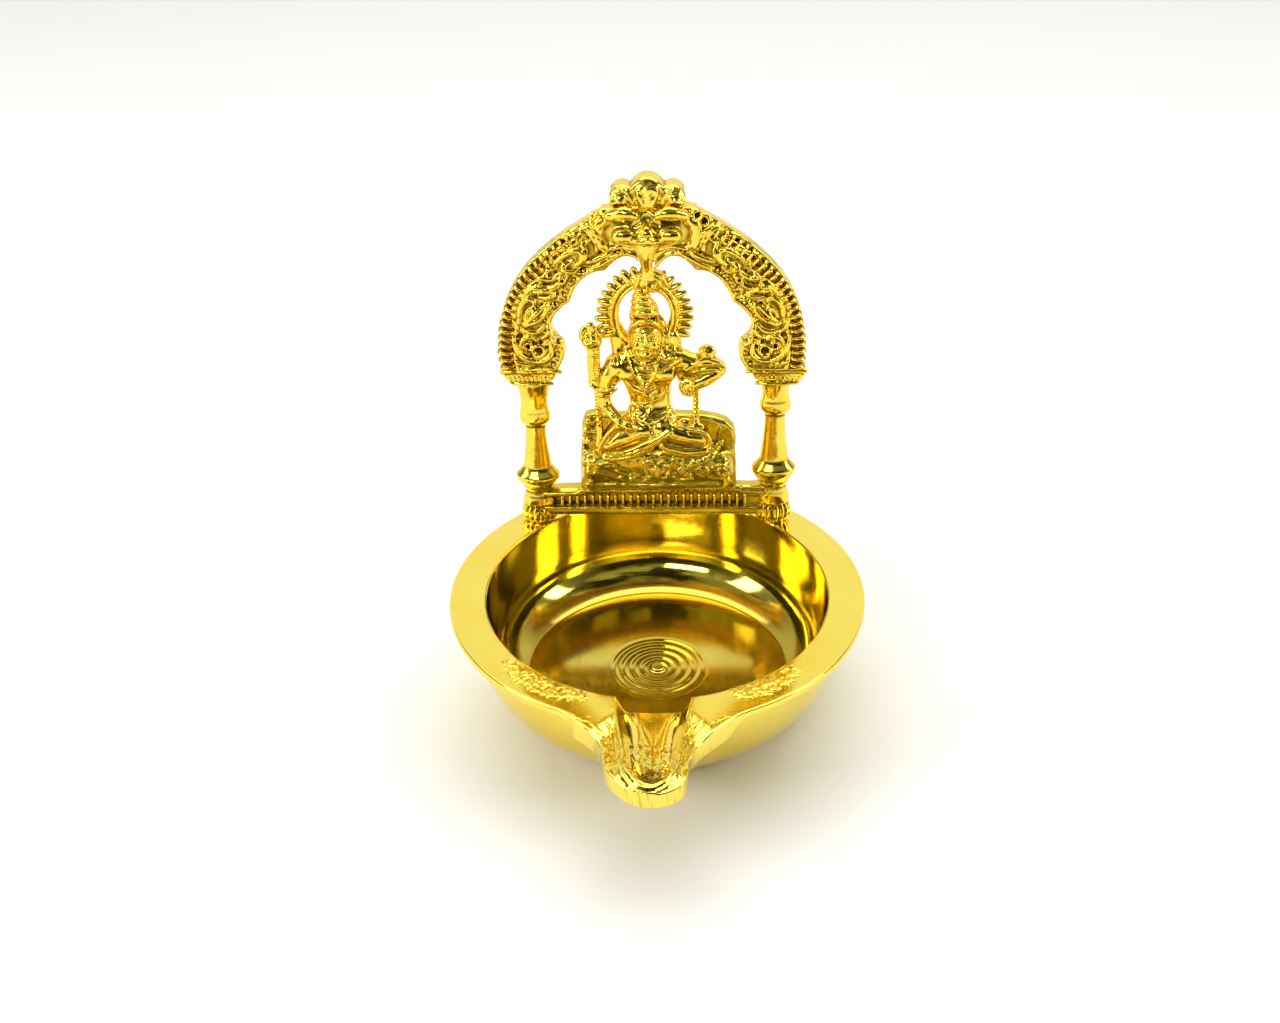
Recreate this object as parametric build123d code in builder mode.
from build123d import *
import os
from math import cos, pi, radians, sin, sqrt

# A cast brass oil lamp: a round bowl with a flat rim and a wick spout, and a
# pierced shrine plate that stands across the back of the rim.
# Millimetres. The origin is on the bowl's axis, on the table. +Z is up,
# the spout points to -Y and the shrine plate stands at +Y.

# ---------------------------------------------------------------- bowl sizes
rim_height = 26.0
opening_radius = 35.1
flange_width = 7.4
flange_thickness = 1.7
wall_thickness = 3.6
wall_lean = 0.9
wall_straight_height = 10.5
floor_height = 6.2
floor_radius = 27.2
foot_radius = 25.3
foot_height = 1.6
foot_ring_width = 3.2
foot_pad_radius = 17.0
foot_groove_depth = 1.2
floor_ring_pitch = 2.1
floor_ring_count = 4
floor_ring_depth = 0.35
centre_boss_radius = 1.5
centre_boss_height = 0.5

# --------------------------------------------------------------- spout sizes
spout_centre_x = -0.9
spout_reach = 18.2
spout_depth = 4.8
spout_shoulder_half_width = 14.1
spout_neck_half_width = 8.0
spout_nose_half_width = 7.5
channel_depth = 3.8
channel_mouth_half_width = 7.2
channel_floor_half_width = 5.0
channel_tip_wall = 1.6
spout_edge_fillet = 0.6

# --------------------------------------------------------- shrine plate sizes
plate_centre_x = -1.0
plate_thickness = 4.5
pillar_offset = 25.3
pillar_seat_inset = 2.4
pillar_height = 37.2
capital_height = 2.2
capital_half_width = 6.1
capital_chamfer = 0.8
foot_spigot_height = 0.8
pillar_base_radius = 4.8
pillar_depth_share = 0.72

# turned profile of a pillar: share of its height up to the capital, radius
pillar_profile = [
    (0.000, 2.4), (0.023, 2.4), (0.024, 2.9), (0.080, 3.7), (0.143, 3.0),
    (0.180, 3.7), (0.271, 2.9), (0.343, 3.9), (0.386, pillar_base_radius),
    (0.430, 3.6), (0.446, 3.1), (0.710, 2.25), (0.735, 2.7), (0.785, 3.2),
    (0.840, 2.5), (0.900, 2.55), (0.960, 3.1), (1.000, 3.9),
]

arch_rise = 36.3
arch_shoulder = 6.4
arch_inner_step = 6.6

finial_half_width = 7.3
finial_height = 6.3
mask_half_width = 8.2
mask_height = 10.6
mask_relief = 2.6
pendant_half_width = 1.7

rail_gap = 2.3
rail_strip_height = 2.5
rail_frieze_height = 3.3
rail_bead_height = 1.2
rail_depth = 3.2
rail_rib_pitch = 1.1
rail_rib_radius = 0.38

pedestal_to_pillar = 7.5
pedestal_height = 17.4
pedestal_shoulder_radius = 4.0
seat_height = 7.9
seat_depth = 3.6
seat_inset = 2.0

# --------------------------------------------------------------- figure sizes
head_width = 6.4
head_height = 8.6
head_depth = 6.6
head_offset_x = -1.0
torso_height = 17.4
halo_half_width = 7.1
halo_half_height = 8.3
halo_band_width = 1.9
halo_thickness = 2.2
halo_flame_length = 2.4
halo_flame_count = 26
hood_half_width = 2.7
hood_overlap = 1.0
staff_radius = 0.9

# ------------------------------------------------------------ fixing pin sizes
pin_diameter = 1.6
pin_depth_in_rim = 4.0
pin_depth_in_pillar = 5.0
pin_end_clearance = 0.3

# ------------------------------------------------------------- derived places
flange_radius = opening_radius + flange_width
pillar_seat_radius = opening_radius + pillar_seat_inset
plate_y = sqrt(pillar_seat_radius ** 2 - pillar_offset ** 2)
plate_front_y = plate_y - plate_thickness / 2
plate_back_y = plate_y + plate_thickness / 2
pillar_x = {"left": plate_centre_x - pillar_offset, "right": plate_centre_x + pillar_offset}
arch_base_z = rim_height + pillar_height
arch_top_z = arch_base_z + arch_rise
arch_half_width = pillar_offset + arch_shoulder
pedestal_half_width = pillar_x["right"] - pedestal_to_pillar
rail_bottom_z = rim_height + rail_gap
rail_top_z = rail_bottom_z + rail_strip_height + rail_frieze_height + rail_bead_height
pedestal_top_z = rail_top_z + pedestal_height
seat_z = rail_top_z + seat_height
neck_z = seat_z + torso_height + 5.6
head_x = plate_centre_x + head_offset_x
head_z = neck_z + head_height / 2 + 0.6
halo_z = head_z + 4.6
halo_top_z = halo_z + halo_half_height + halo_flame_length
mask_base_z = arch_top_z - mask_height
front = Plane.XZ


def on_plate(y):
    """an upright plane facing the spout, with its origin on the plate's centre line"""
    return Plane(origin=(plate_centre_x, y, 0), x_dir=(1, 0, 0), z_dir=(0, -1, 0))


def limb(start, end, start_radius, end_radius):
    """a tapered limb with a round joint at each end, added to the part being built"""
    axis = Vector(*end) - Vector(*start)
    with Locations(Plane(origin=start, z_dir=axis)):
        Cone(start_radius, end_radius, axis.length, align=(Align.CENTER, Align.CENTER, Align.MIN))
    with Locations(start):
        Sphere(start_radius * 1.03)
    with Locations(end):
        Sphere(end_radius * 1.03)


# ------------------------------------------------------------------------ bowl
inner_break = (opening_radius - wall_lean, rim_height - wall_straight_height)
wall_outer_radius = opening_radius + wall_thickness
underside_z = rim_height - flange_thickness

with BuildPart() as bowl:
    with BuildSketch(front):
        with BuildLine():
            Polyline((0, 0),
                     (foot_pad_radius, 0),
                     (foot_pad_radius, foot_groove_depth),
                     (foot_radius - foot_ring_width, foot_groove_depth),
                     (foot_radius - foot_ring_width, 0),
                     (foot_radius, 0),
                     (foot_radius, foot_height))
            Bezier((foot_radius, foot_height),
                   (wall_outer_radius - 1.5, foot_height + 4.0),
                   (wall_outer_radius, underside_z - 6.0),
                   (wall_outer_radius, underside_z))
            Polyline((wall_outer_radius, underside_z),
                     (flange_radius, underside_z),
                     (flange_radius, rim_height),
                     (opening_radius, rim_height),
                     inner_break)
            Bezier(inner_break,
                   (inner_break[0] - 0.7, floor_height + 2.2),
                   (floor_radius, floor_height))
            Polyline((floor_radius, floor_height), (0, floor_height), (0, 0))
        make_face()
    revolve(axis=Axis.Z)

    # spout: a thick nose that grows out of the rim's front
    shoulder_y = -(flange_radius - 0.4)
    with BuildSketch(Plane.XY.offset(rim_height)):
        with BuildLine():
            nose_y = -(flange_radius + spout_reach)
            root_y = -(opening_radius + wall_thickness / 4)
            half = spout_shoulder_half_width
            neck = spout_neck_half_width
            nose = spout_nose_half_width
            right_side = Spline((spout_centre_x + half, shoulder_y),
                                (spout_centre_x + neck + 1.6, shoulder_y - 4.2),
                                (spout_centre_x + neck, shoulder_y - 9.0),
                                (spout_centre_x + nose, nose_y + 4.6))
            tip = ThreePointArc(right_side @ 1, (spout_centre_x, nose_y), (spout_centre_x - nose, nose_y + 4.6))
            left_side = Spline(tip @ 1,
                               (spout_centre_x - neck, shoulder_y - 9.0),
                               (spout_centre_x - neck - 1.6, shoulder_y - 4.2),
                               (spout_centre_x - half, shoulder_y))
            Polyline(left_side @ 1,
                     (spout_centre_x - half, root_y),
                     (spout_centre_x + half, root_y),
                     right_side @ 0)
        make_face()
    extrude(amount=-spout_depth)
    nose_edges = bowl.edges().filter_by(lambda e: e.center().Y < shoulder_y - 2.0)
    fillet(nose_edges.group_by(Axis.Z)[0], radius=spout_edge_fillet)

    # wick channel from the opening to just short of the nose
    channel_start_y = -(opening_radius - 3.0)
    channel_tip_y = nose_y + channel_tip_wall
    with BuildSketch(Plane.XY.offset(rim_height + 0.2)):
        with BuildLine():
            outline = Polyline((spout_centre_x - 5.0, channel_tip_y + 7.0),
                               (spout_centre_x - channel_mouth_half_width, channel_start_y),
                               (spout_centre_x + channel_mouth_half_width, channel_start_y),
                               (spout_centre_x + 5.0, channel_tip_y + 7.0))
            ThreePointArc(outline @ 1, (spout_centre_x, channel_tip_y), outline @ 0)
        make_face()
    with BuildSketch(Plane.XY.offset(rim_height - channel_depth)):
        with BuildLine():
            outline = Polyline((spout_centre_x - 1.4, channel_tip_y + 7.0),
                               (spout_centre_x - channel_floor_half_width, channel_start_y),
                               (spout_centre_x + channel_floor_half_width, channel_start_y),
                               (spout_centre_x + 1.4, channel_tip_y + 7.0))
            ThreePointArc(outline @ 1, (spout_centre_x, channel_tip_y + 4.4), outline @ 0)
        make_face()
    loft(mode=Mode.SUBTRACT)

    # turned rings and the lathe centre on the inside floor
    for ring in range(1, floor_ring_count + 1):
        ring_radius = centre_boss_radius + ring * floor_ring_pitch
        with BuildSketch(front):
            with Locations((ring_radius, floor_height)):
                Circle(floor_ring_depth)
        revolve(axis=Axis.Z, mode=Mode.SUBTRACT)
    with Locations((0, 0, floor_height)):
        Cylinder(centre_boss_radius, centre_boss_height, align=(Align.CENTER, Align.CENTER, Align.MIN))

    # blind holes in the top of the wall for the pins that hold the shrine plate
    with Locations(*[(x, plate_y, rim_height) for x in pillar_x.values()]):
        Cylinder(pin_diameter / 2, pin_depth_in_rim, align=(Align.CENTER, Align.CENTER, Align.MAX),
                 mode=Mode.SUBTRACT)
bowl.part.label = "bowl"

# --------------------------------------------------------------------- pillars
turned_height = pillar_height - capital_height


with BuildPart() as round_post:
    with BuildSketch(Plane.XZ):
        with BuildLine():
            rings = [(radius, share * turned_height) for share, radius in pillar_profile]
            Polyline((0, 0), *rings, (0, turned_height), (0, 0))
        make_face()
    revolve(axis=Axis.Z)
flat_post = scale(round_post.part, by=(1, pillar_depth_share, 1))


def make_pillar(x):
    """a baluster of oval section on a small spigot, with a square capital that carries the arch"""
    with BuildPart() as pillar:
        with Locations((x, plate_y, rim_height)):
            add(flat_post)
        capital_plane = Plane(origin=(x, plate_y, rim_height + turned_height))
        with Locations(capital_plane):
            Box(2 * capital_half_width, plate_thickness, capital_height,
                align=(Align.CENTER, Align.CENTER, Align.MIN))
        lower_ends = pillar.edges().filter_by(Axis.Y).group_by(Axis.Z)[-2]
        chamfer(lower_ends, length=capital_chamfer)
        with Locations((x, plate_y, rim_height)):
            Cylinder(pin_diameter / 2, pin_depth_in_pillar,
                     align=(Align.CENTER, Align.CENTER, Align.MIN), mode=Mode.SUBTRACT)
    return pillar.part


left_pillar = make_pillar(pillar_x["left"])
left_pillar.label = "left_pillar"
right_pillar = make_pillar(pillar_x["right"])
right_pillar.label = "right_pillar"

# ------------------------------------------------------------------------ arch
# half of the arch, from the crown down to the capital; outside then inside.
# Each row is an arc's middle and end, as shares of the half width and the rise.
inner_half_width = arch_half_width - 2 * capital_half_width + 0.7
crown_x = finial_half_width + 0.3
outer_arcs = [((0.560, 0.830), (0.798, 0.636)), ((0.945, 0.412), (1.000, 0.150)), ((1.000, 0.080), (0.984, 0.0))]
inner_arcs = [((0.562, 0.105), (0.587, 0.177)), ((0.637, 0.314), (0.511, 0.452)),
              ((0.420, 0.590), (0.278, 0.639)), ((0.150, 0.721), (0.050, 0.662))]


def arch_point(share_x, share_z, side):
    return (side * share_x * arch_half_width, arch_base_z + share_z * arch_rise)


inner_foot = (inner_half_width / arch_half_width, 0.0)
with BuildPart() as arch:
    with BuildSketch(on_plate(plate_back_y)):
        for side in (-1, 1):
            with BuildLine():
                here = (side * crown_x, arch_top_z)
                Line((0, arch_top_z), here)
                for middle, end in outer_arcs:
                    ThreePointArc(here, arch_point(*middle, side), arch_point(*end, side))
                    here = arch_point(*end, side)
                foot = arch_point(*inner_foot, side)
                Line(here, foot)
                here = foot
                for middle, end in inner_arcs:
                    ThreePointArc(here, arch_point(*middle, side), arch_point(*end, side))
                    here = arch_point(*end, side)
                Polyline(here, (0, here[1]), (0, arch_top_z))
            make_face()
    extrude(amount=plate_thickness)
arch.part.label = "arch"

# ---------------------------------------------------------------------- finial
with BuildPart() as finial:
    with BuildSketch(on_plate(plate_back_y)):
        with BuildLine():
            w = finial_half_width
            h = finial_height
            Polyline((-w, arch_top_z + 0.32 * h), (-w, arch_top_z), (w, arch_top_z), (w, arch_top_z + 0.32 * h))
            ThreePointArc((w, arch_top_z + 0.32 * h), (0.80 * w, arch_top_z + 0.72 * h),
                          (0.46 * w, arch_top_z + 0.68 * h))
            ThreePointArc((0.46 * w, arch_top_z + 0.68 * h), (0, arch_top_z + h),
                          (-0.46 * w, arch_top_z + 0.68 * h))
            ThreePointArc((-0.46 * w, arch_top_z + 0.68 * h), (-0.80 * w, arch_top_z + 0.72 * h),
                          (-w, arch_top_z + 0.32 * h))
        make_face()
    extrude(amount=plate_thickness)
finial.part.label = "finial"

# ------------------------------------------------------------------- base rail
rail_half_length = pillar_offset
with BuildPart() as base_rail:
    with BuildSketch(Plane.YZ.offset(plate_centre_x - rail_half_length)):
        with BuildLine():
            rail_front = plate_y - rail_depth / 2
            rail_back = plate_y + rail_depth / 2
            strip_top = rail_bottom_z + rail_strip_height
            frieze_top = strip_top + rail_frieze_height
            Polyline((rail_front - 0.5, strip_top), (rail_front - 0.5, rail_bottom_z),
                     (rail_back, rail_bottom_z), (rail_back, rail_top_z),
                     (rail_front, rail_top_z))
            ThreePointArc((rail_front, rail_top_z),
                          (rail_front - rail_bead_height / 2, frieze_top + rail_bead_height / 2),
                          (rail_front, frieze_top))
            Polyline((rail_front, frieze_top), (rail_front, strip_top), (rail_front - 0.5, strip_top))
        make_face()
    extrude(amount=2 * rail_half_length)
    rib_count = int(2 * (pedestal_half_width - 1.0) / rail_rib_pitch)
    with Locations((plate_centre_x, rail_front, strip_top)):
        with GridLocations(rail_rib_pitch, 1, rib_count, 1):
            Cylinder(rail_rib_radius, rail_frieze_height,
                     align=(Align.CENTER, Align.CENTER, Align.MIN))
    add(left_pillar, mode=Mode.SUBTRACT)
    add(right_pillar, mode=Mode.SUBTRACT)
    keep_half = rail_half_length - 1.5
    with Locations((plate_centre_x, plate_y, rail_bottom_z)):
        Box(2 * keep_half, 4 * rail_depth, 4 * pedestal_height, mode=Mode.INTERSECT)
base_rail.part.label = "base_rail"

# -------------------------------------------------------------------- pedestal
with BuildPart() as pedestal:
    with BuildSketch(Plane(origin=(0, plate_y + rail_depth / 2, 0), x_dir=(1, 0, 0), z_dir=(0, -1, 0))):
        with BuildLine():
            w = pedestal_half_width
            r = pedestal_shoulder_radius
            slope_z = pedestal_top_z - 2.4
            Polyline((-w + 1.0, pedestal_top_z), (-w, rail_top_z), (w, rail_top_z), (w, slope_z - r))
            ThreePointArc((w, slope_z - r), (w - 0.29 * r, slope_z - 0.29 * r), (w - r, slope_z))
            Polyline((w - r, slope_z), (w - 2 * r, pedestal_top_z), (-w + 1.0, pedestal_top_z))
        make_face()
    extrude(amount=rail_depth)
    # the seat stands forward of the slab and follows it down to the rail
    with BuildSketch(Plane.YZ.offset(-pedestal_half_width + seat_inset)):
        with BuildLine():
            slab_front = plate_y - rail_depth / 2
            Polyline((slab_front, rail_top_z), (slab_front, seat_z),
                     (slab_front - seat_depth, seat_z), (slab_front - seat_depth, seat_z - 2.5),
                     (slab_front - 0.8, rail_top_z), (slab_front, rail_top_z))
        make_face()
    extrude(amount=2 * (pedestal_half_width - seat_inset))
pedestal.part.label = "pedestal"

# ---------------------------------------------------------------------- figure
body_x = plate_centre_x - 1.2
lap_y = slab_front - 2.4
lap_z = seat_z + 2.7
shoulder_z = neck_z - 3.0
torso_y = plate_y - 1.7

head = scale(Sphere(0.5), by=(head_width, head_depth, head_height))
with BuildPart() as figure:
    # crossed legs: thigh out to the knee, shin back across
    limb((body_x - 2.0, lap_y, lap_z + 3.0), (body_x - 9.0, lap_y - 0.4, lap_z), 2.6, 2.3)
    limb((body_x - 9.0, lap_y - 0.4, lap_z - 0.2), (body_x + 4.2, lap_y - 1.4, lap_z + 1.0), 2.1, 1.4)
    limb((body_x + 3.4, lap_y, lap_z + 3.2), (body_x + 10.6, lap_y - 0.2, lap_z + 0.6), 2.6, 2.2)
    limb((body_x + 10.6, lap_y - 0.2, lap_z - 0.1), (body_x + 0.4, lap_y - 0.2, lap_z - 0.9), 2.0, 1.5)
    # torso, waist to shoulders
    with BuildSketch(Plane(origin=(body_x, torso_y, seat_z + 4.0))):
        Ellipse(4.6, 3.0)
    with BuildSketch(Plane(origin=(body_x + 0.2, torso_y, seat_z + 10.5))):
        Ellipse(3.9, 2.5)
    with BuildSketch(Plane(origin=(body_x + 0.1, torso_y, shoulder_z - 2.5))):
        Ellipse(5.6, 2.7)
    with BuildSketch(Plane(origin=(body_x, torso_y, shoulder_z + 1.8))):
        Ellipse(3.6, 2.1)
    loft()
    limb((head_x, torso_y, neck_z - 2.0), (head_x, torso_y - 0.2, neck_z + 2.0), 2.3, 2.2)
    # arms on the left: one rests in the lap, one holds up the trident
    limb((body_x - 5.0, torso_y, shoulder_z), (body_x - 8.4, torso_y - 0.4, seat_z + 13.4), 2.0, 1.6)
    limb((body_x - 8.4, torso_y - 0.4, seat_z + 13.4), (body_x - 3.2, lap_y - 0.6, seat_z + 7.6), 1.5, 1.2)
    limb((body_x - 5.2, torso_y + 0.6, shoulder_z - 0.4), (body_x - 10.4, torso_y, shoulder_z - 3.8), 1.7, 1.4)
    limb((body_x - 10.4, torso_y, shoulder_z - 3.8), (body_x - 11.1, torso_y - 0.4, shoulder_z + 5.2), 1.35, 1.2)
    # arms on the right: one bends back to the staff, one lies on the thigh
    limb((body_x + 5.0, torso_y, shoulder_z), (body_x + 14.2, torso_y + 0.2, shoulder_z + 0.4), 2.0, 1.7)
    limb((body_x + 14.2, torso_y + 0.2, shoulder_z), (body_x + 9.4, lap_y + 1.4, shoulder_z - 4.2), 1.6, 1.5)
    # stacked hair coils
    for coil in range(4):
        with Locations((head_x - 0.2, torso_y + 0.4, head_z + 0.42 * head_height + 1.0 + 1.55 * coil)):
            Cylinder(2.9 - 0.45 * coil, 1.6)
    with Locations((head_x, torso_y - 0.4, head_z)):
        add(head)
    add(pedestal.part, mode=Mode.SUBTRACT)
figure.part.label = "seated_figure"

# ------------------------------------------------------------------------ halo
halo_x = plate_centre_x - 1.4
halo_back_y = plate_y + 0.8
with BuildPart() as halo:
    with BuildSketch(Plane(origin=(halo_x, halo_back_y, halo_z), x_dir=(1, 0, 0), z_dir=(0, -1, 0))):
        Ellipse(halo_half_width, halo_half_height)
        for flame in range(halo_flame_count):
            angle = -0.5 * pi + 2 * pi * (flame + 0.5) / halo_flame_count
            root_x = (halo_half_width - 0.4) * cos(angle)
            root_z = (halo_half_height - 0.4) * sin(angle)
            with Locations(Location((root_x, root_z), angle * 180 / pi)):
                Polygon((0, -0.9), (halo_flame_length, 0), (0, 0.9), align=None)
        with Locations((plate_centre_x - halo_x, halo_half_height)):
            Ellipse(hood_half_width, halo_flame_length)
        Ellipse(halo_half_width - halo_band_width, halo_half_height - halo_band_width, mode=Mode.SUBTRACT)
    extrude(amount=halo_thickness)
    add(figure.part, mode=Mode.SUBTRACT)
halo.part.label = "halo"

# --------------------------------------------------------------- guardian mask
mask_dome = scale(Sphere(1), by=(mask_half_width, mask_relief, mask_height / 2))
with BuildPart() as guardian_mask:
    with Locations((plate_centre_x, plate_front_y, mask_base_z + mask_height / 2)):
        add(mask_dome)
    eye_y = plate_front_y - 0.72 * mask_relief
    for side in (-1, 1):
        with Locations((plate_centre_x + side * 0.42 * mask_half_width, eye_y, mask_base_z + 0.62 * mask_height)):
            Sphere(1.5)
    with Locations((plate_centre_x, eye_y, mask_base_z + 0.45 * mask_height)):
        Sphere(1.9)
    # the tongue hangs down to the halo below it
    tongue_root_z = mask_base_z + 1.5
    with Locations((plate_centre_x, plate_front_y - 1.0, tongue_root_z)):
        Box(2 * pendant_half_width, plate_thickness, tongue_root_z - halo_top_z + hood_overlap,
            align=(Align.CENTER, Align.MIN, Align.MAX))
    add(arch.part, mode=Mode.SUBTRACT)
    add(halo.part, mode=Mode.SUBTRACT)
    add(finial.part, mode=Mode.SUBTRACT)
guardian_mask.part.label = "guardian_mask"

# ----------------------------------------------------------- staffs in the hands
trident_x = body_x - 11.1
trident_y = slab_front - 1.6
trident_top_z = shoulder_z + 11.0
with BuildPart() as trident:
    with Locations((trident_x, trident_y, seat_z)):
        Cylinder(staff_radius, trident_top_z - 4.4 - seat_z, align=(Align.CENTER, Align.CENTER, Align.MIN))
    with Locations((trident_x, trident_y, trident_top_z - 4.6)):
        Box(4.2, 1.4, 1.2, align=(Align.CENTER, Align.CENTER, Align.MIN))
    with Locations(*[(trident_x + prong * 1.6, trident_y, trident_top_z - 3.6) for prong in (-1, 0, 1)]):
        Cone(0.7, 0.3, 3.6, align=(Align.CENTER, Align.CENTER, Align.MIN))
    add(figure.part, mode=Mode.SUBTRACT)
    add(pedestal.part, mode=Mode.SUBTRACT)
trident.part.label = "trident"

staff_x = body_x + 10.2
with BuildPart() as hand_staff:
    with Locations((staff_x, trident_y, seat_z + 3.0)):
        Cylinder(staff_radius, shoulder_z - 3.0 - seat_z - 3.0, align=(Align.CENTER, Align.CENTER, Align.MIN))
    add(figure.part, mode=Mode.SUBTRACT)
    add(pedestal.part, mode=Mode.SUBTRACT)
hand_staff.part.label = "hand_staff"

# ----------------------------------------------------------------- fixing pins
pin_length = pin_depth_in_rim + pin_depth_in_pillar - 2 * pin_end_clearance
with BuildPart() as fixing_pins:
    pin_low_z = rim_height - pin_depth_in_rim + pin_end_clearance
    with Locations(*[(x, plate_y, pin_low_z) for x in pillar_x.values()]):
        Cylinder(pin_diameter / 2, pin_length, align=(Align.CENTER, Align.CENTER, Align.MIN))
fixing_pins.part.label = "fixing_pins"

# ---------------------------------------------------------------------- output
os.makedirs("parts", exist_ok=True)
pieces = [bowl.part, left_pillar, right_pillar, arch.part, finial.part, guardian_mask.part,
          base_rail.part, pedestal.part, figure.part, halo.part, trident.part,
          hand_staff.part, fixing_pins.part]
for piece in pieces:
    export_step(piece, f"parts/{piece.label}.step")
    print(piece.label, round(piece.volume, 1))
